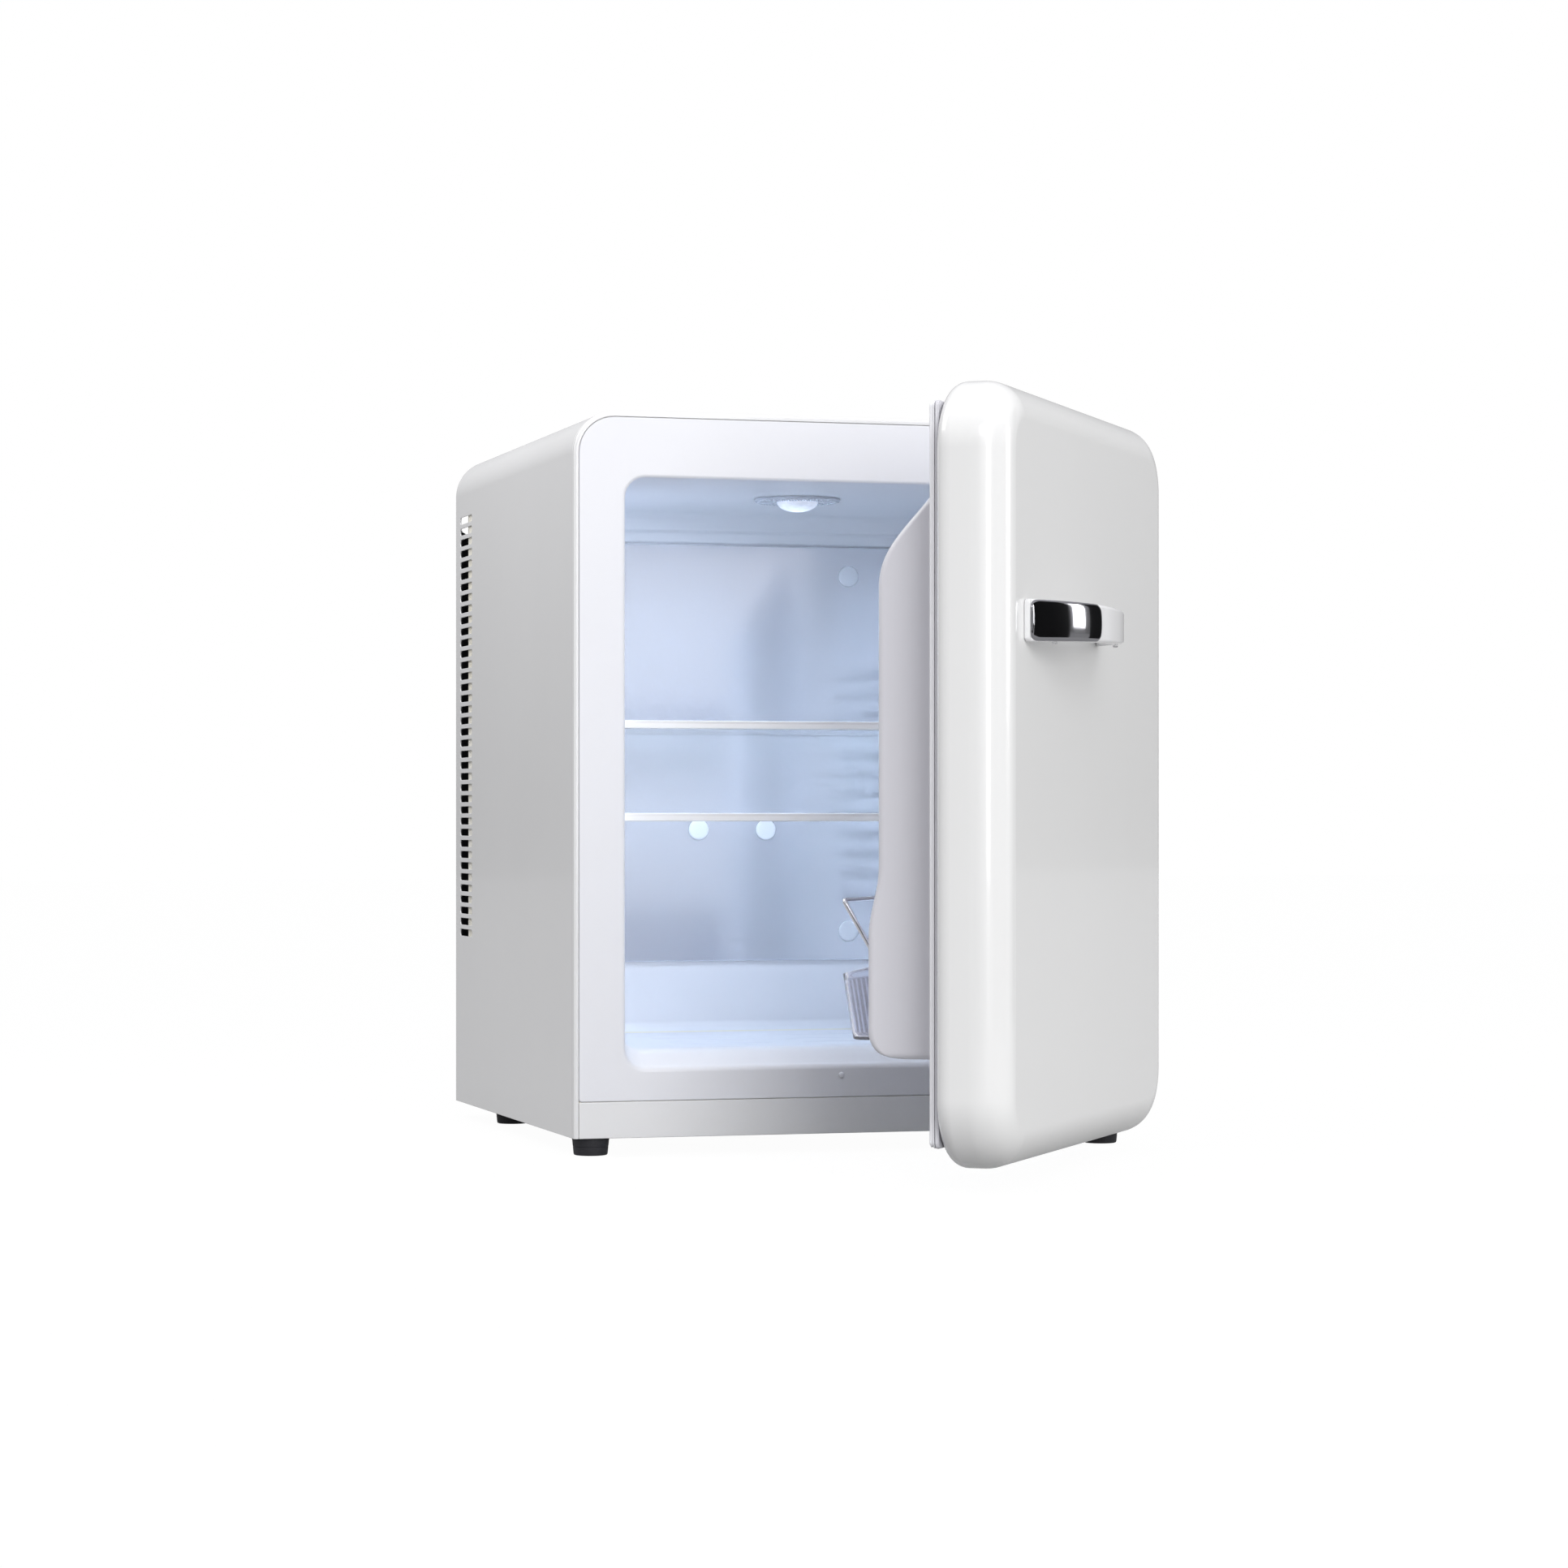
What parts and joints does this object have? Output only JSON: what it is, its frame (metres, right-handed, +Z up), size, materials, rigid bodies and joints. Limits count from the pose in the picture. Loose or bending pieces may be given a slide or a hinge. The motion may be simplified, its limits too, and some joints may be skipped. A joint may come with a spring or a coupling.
{
  "type": "minibar fridge",
  "caption": "Small white table-top fridge with a rounded door, glass shelves, ceiling lamp, door bins and a thermoelectric cooling unit with a fan at the back.",
  "frame": {"origin": "centre of the object's box at the level of the feet's undersides, with the door stored 54 degrees open", "axes": "+Z up, +Y from the door's side to the back, +X towards the hinge side"},
  "size_m": [0.4416, 0.796, 0.547],
  "materials": {
    "cabinet_paint": "glossy white enamel",
    "dark_sheet": "matt black paint",
    "liner_plastic": "satin cool white moulding",
    "tray_plastic": "satin white moulding",
    "foam": "pale yellow rigid foam",
    "cold_plate_paint": "glossy white paint, slightly orange-peeled",
    "cap_plastic": "white caps",
    "clear_plastic": "clear ribbed lens",
    "board": "white circuit board",
    "bare_aluminium": "machined",
    "module_ceramic": "white ceramic",
    "black_aluminium": "black anodised",
    "black_plastic": "black moulding",
    "foot_rubber": "black rubber",
    "shelf_glass": "clear toughened glass",
    "trim_plastic": "white edge moulding",
    "door_paint": "high-gloss white enamel",
    "door_liner_plastic": "satin white moulding",
    "seal_rubber": "soft grey-white magnetic seal",
    "handle_plastic": "glossy white moulding",
    "handle_chrome": "mirror chrome plate",
    "screw_steel": "zinc plated",
    "bin_plastic": "clear moulding",
    "wire_chrome": "chromed wire",
    "hinge_steel": "zinc plated steel",
    "bush_plastic": "black bush"
  },
  "bodies": {
    "cabinet": {"cabinet_wrap": "cabinet_paint", "kick_panel": "cabinet_paint", "base_plate": "dark_sheet", "rear_bulkhead": "dark_sheet", "rear_rail_left": "dark_sheet", "rear_rail_right": "dark_sheet", "inner_liner": "liner_plastic", "liner_side_left": "liner_plastic", "liner_side_right": "liner_plastic", "liner_ceiling": "liner_plastic", "liner_floor_and_back": "liner_plastic", "lamp_housing": "liner_plastic", "sill_plug": "liner_plastic", "insulation_foam": "foam", "cold_plate": "cold_plate_paint", "plate_cap_middle_left": "cap_plastic", "plate_cap_middle_right": "cap_plastic", "plate_cap_top_left": "cap_plastic", "plate_cap_top_right": "cap_plastic", "plate_cap_bottom_left": "cap_plastic", "plate_cap_bottom_right": "cap_plastic", "lamp_lens": "clear_plastic", "led_board": "board", "cold_block": "bare_aluminium", "thermoelectric_module": "module_ceramic", "heat_sink": "black_aluminium", "fan_frame": "black_plastic", "control_box": "black_plastic", "power_inlet": "black_plastic", "foot_front_left": "foot_rubber", "foot_front_right": "foot_rubber", "foot_rear_left": "foot_rubber", "foot_rear_right": "foot_rubber", "hinge_bracket_bottom": "hinge_steel", "hinge_bracket_top": "hinge_steel", "hinge_pin_bottom": "hinge_steel", "hinge_pin_top": "hinge_steel", "hinge_screw_bottom": "screw_steel", "hinge_screw_top": "screw_steel"},
    "door": {"door_shell": "door_paint", "door_foam": "foam", "door_liner": "door_liner_plastic", "door_seal": "seal_rubber", "handle_body": "handle_plastic", "handle_inset": "handle_chrome", "handle_screw_left": "screw_steel", "handle_screw_right": "screw_steel", "hinge_bush_bottom": "bush_plastic", "hinge_bush_top": "bush_plastic"},
    "lower_shelf": {"lower_shelf_pane": "shelf_glass", "lower_shelf_trim": "trim_plastic"},
    "upper_shelf": {"upper_shelf_pane": "shelf_glass", "upper_shelf_trim": "trim_plastic"},
    "tray": {"floor_tray": "tray_plastic"},
    "bottle_bin": {"bottle_bin": "bin_plastic"},
    "bottle_wire": {"bottle_wire": "wire_chrome"},
    "upper_bin": {"upper_bin": "bin_plastic"},
    "fan": {"fan_rotor": "black_plastic"},
    "dial": {"temperature_dial": "black_plastic"}
  },
  "joints": [
    {"name": "door_swing", "type": "hinge", "parent": "cabinet", "child": "door", "pos_m": [0.19723, -0.05299, 0.263], "axis": [0, 0, 1], "range_deg": [-54, 66]},
    {"name": "lower_shelf_slide", "type": "slide", "parent": "cabinet", "child": "lower_shelf", "axis": [0, -1, 0], "range_m": [0, 0.05]},
    {"name": "upper_shelf_slide", "type": "slide", "parent": "cabinet", "child": "upper_shelf", "axis": [0, -1, 0], "range_m": [0, 0.05]},
    {"name": "tray_lift", "type": "slide", "parent": "cabinet", "child": "tray", "axis": [0, 0, 1], "range_m": [0, 0.05]},
    {"name": "bottle_bin_lift", "type": "slide", "parent": "door", "child": "bottle_bin", "axis": [0, 0, 1], "range_m": [0, 0.06]},
    {"name": "wire_swing", "type": "hinge", "parent": "bottle_bin", "child": "bottle_wire", "pos_m": [0.01015, -0.16553, 0.109], "axis": [0.5878, 0.809, 0], "range_deg": [-25, 25]},
    {"name": "upper_bin_lift", "type": "slide", "parent": "door", "child": "upper_bin", "axis": [0, 0, 1], "range_m": [0, 0.06]},
    {"name": "fan_spin", "type": "hinge", "parent": "cabinet", "child": "fan", "pos_m": [-0.00377, 0.384, 0.239], "axis": [0, 1, 0], "continuous": true},
    {"name": "dial_turn", "type": "hinge", "parent": "cabinet", "child": "dial", "pos_m": [0.15623, 0.38841, 0.0855], "axis": [0, 1, 0], "range_deg": [0, 270]}
  ]
}
